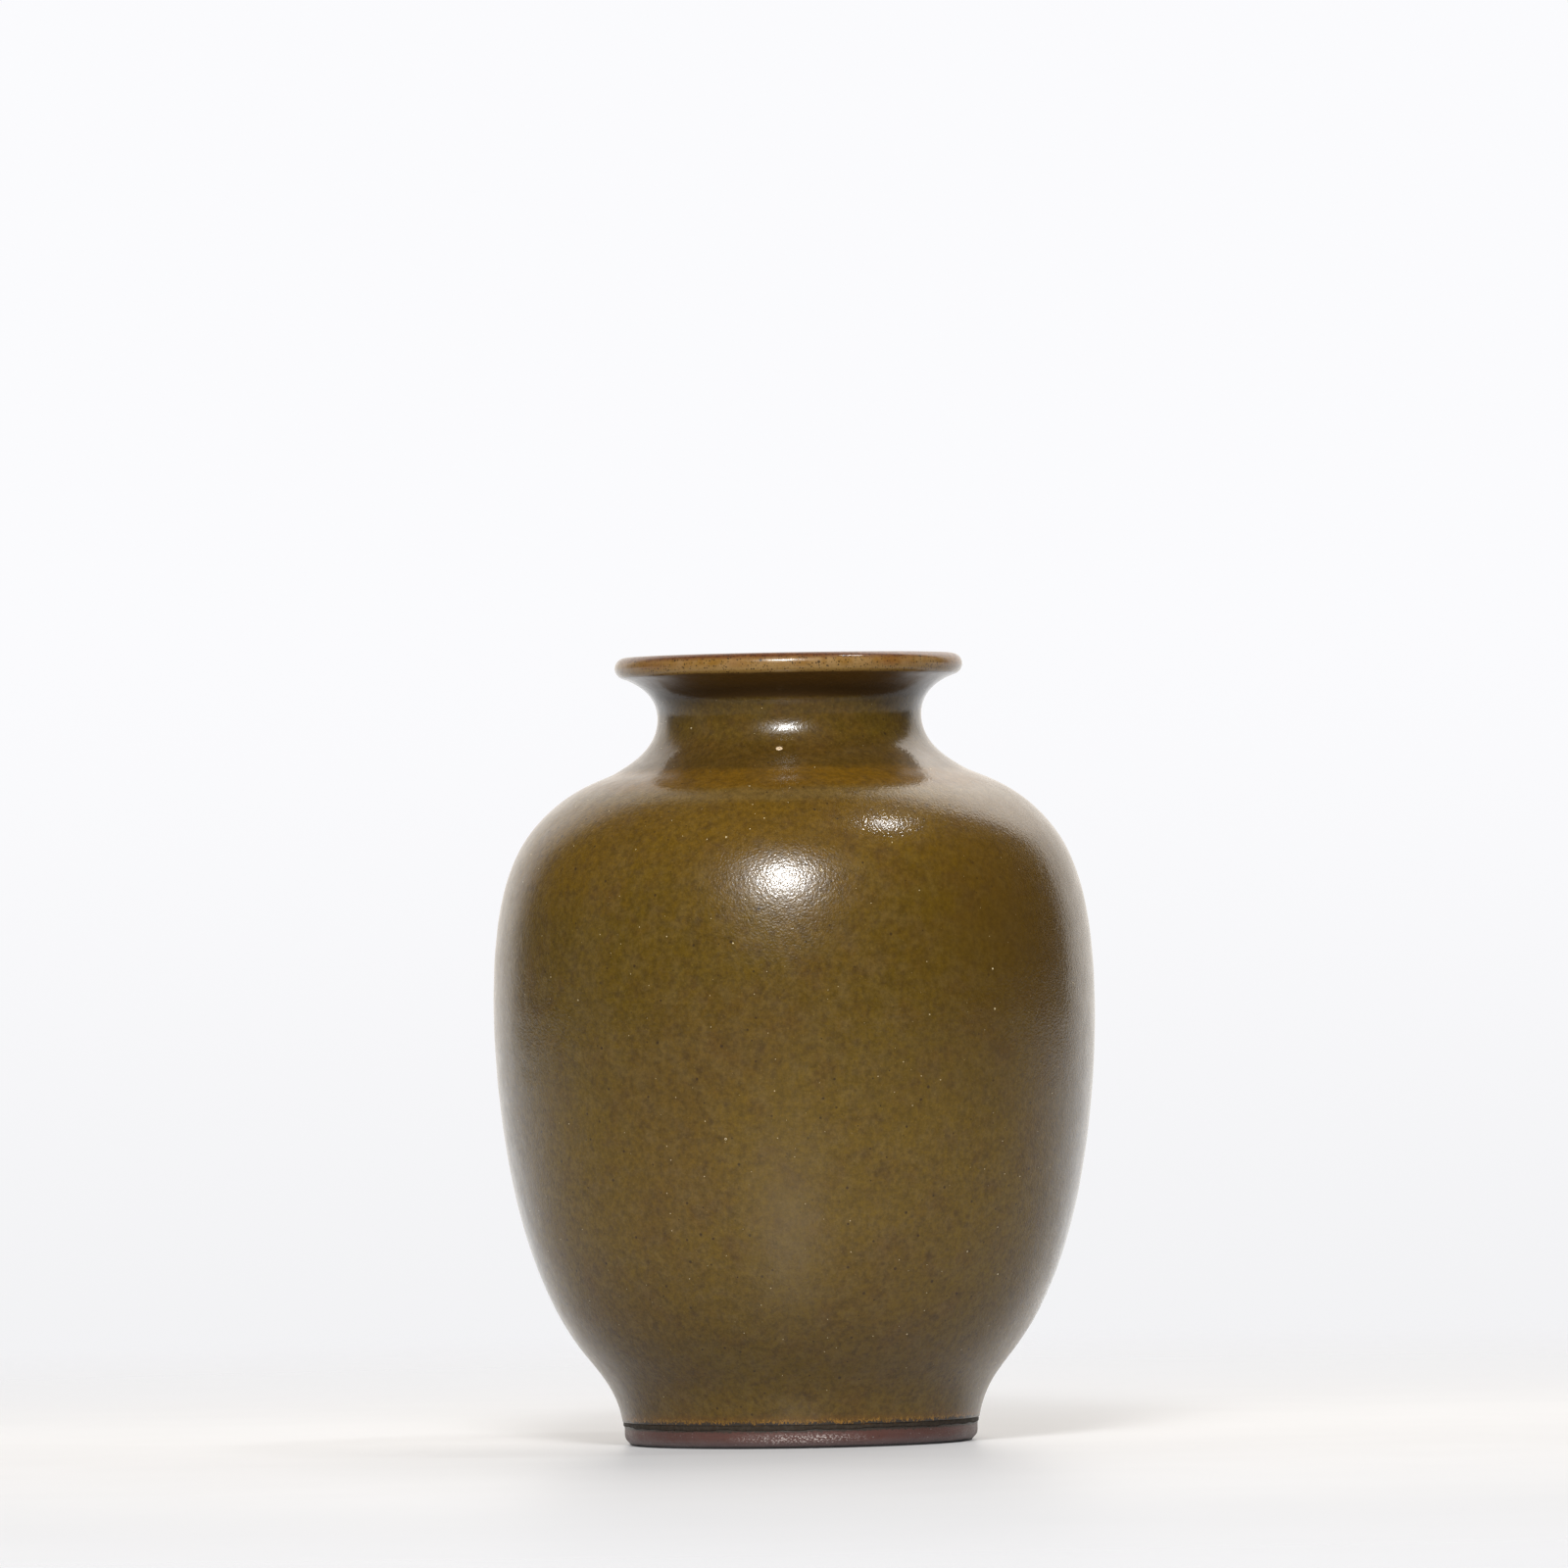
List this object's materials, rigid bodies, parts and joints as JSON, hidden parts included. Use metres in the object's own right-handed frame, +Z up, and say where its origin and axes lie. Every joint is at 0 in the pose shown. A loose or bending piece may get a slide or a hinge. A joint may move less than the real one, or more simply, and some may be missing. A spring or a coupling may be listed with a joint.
{
  "type": "ovoid vase",
  "caption": "Ovoid stoneware vase with olive tea-dust glaze, waisted neck, wide rolled lip and bare turned foot ring.",
  "frame": {"origin": "centre of the foot ring's resting plane, directly under the vase's axis", "axes": "+Z up along the axis of revolution, from the foot to the mouth; the vase is round, so X and Y are free"},
  "size_m": [0.1146, 0.1146, 0.15],
  "materials": {
    "stoneware_body": "fired stoneware, hidden under the coats",
    "bare_foot": "unglazed purplish-brown stoneware, turned and slightly gritty",
    "tea_dust_glaze": "olive-brown tea-dust glaze, softly glossy, finely mottled and specked",
    "lip_glaze": "thin tan-brown glaze with iron specks",
    "glaze_edge": "dark pooled glaze edge",
    "inner_glaze": "tea-dust glaze inside, softly glossy",
    "base_glaze": "tea-dust glaze in the foot recess, unmarked"
  },
  "bodies": {
    "root": {"foot_ring": "bare_foot", "lower_body": "stoneware_body", "upper_body": "stoneware_body", "neck": "stoneware_body", "lip_ring": "stoneware_body", "outer_glaze": "tea_dust_glaze", "lip_glaze": "lip_glaze", "glaze_edge": "glaze_edge", "inner_glaze": "inner_glaze", "base_glaze": "base_glaze"}
  },
  "joints": []
}
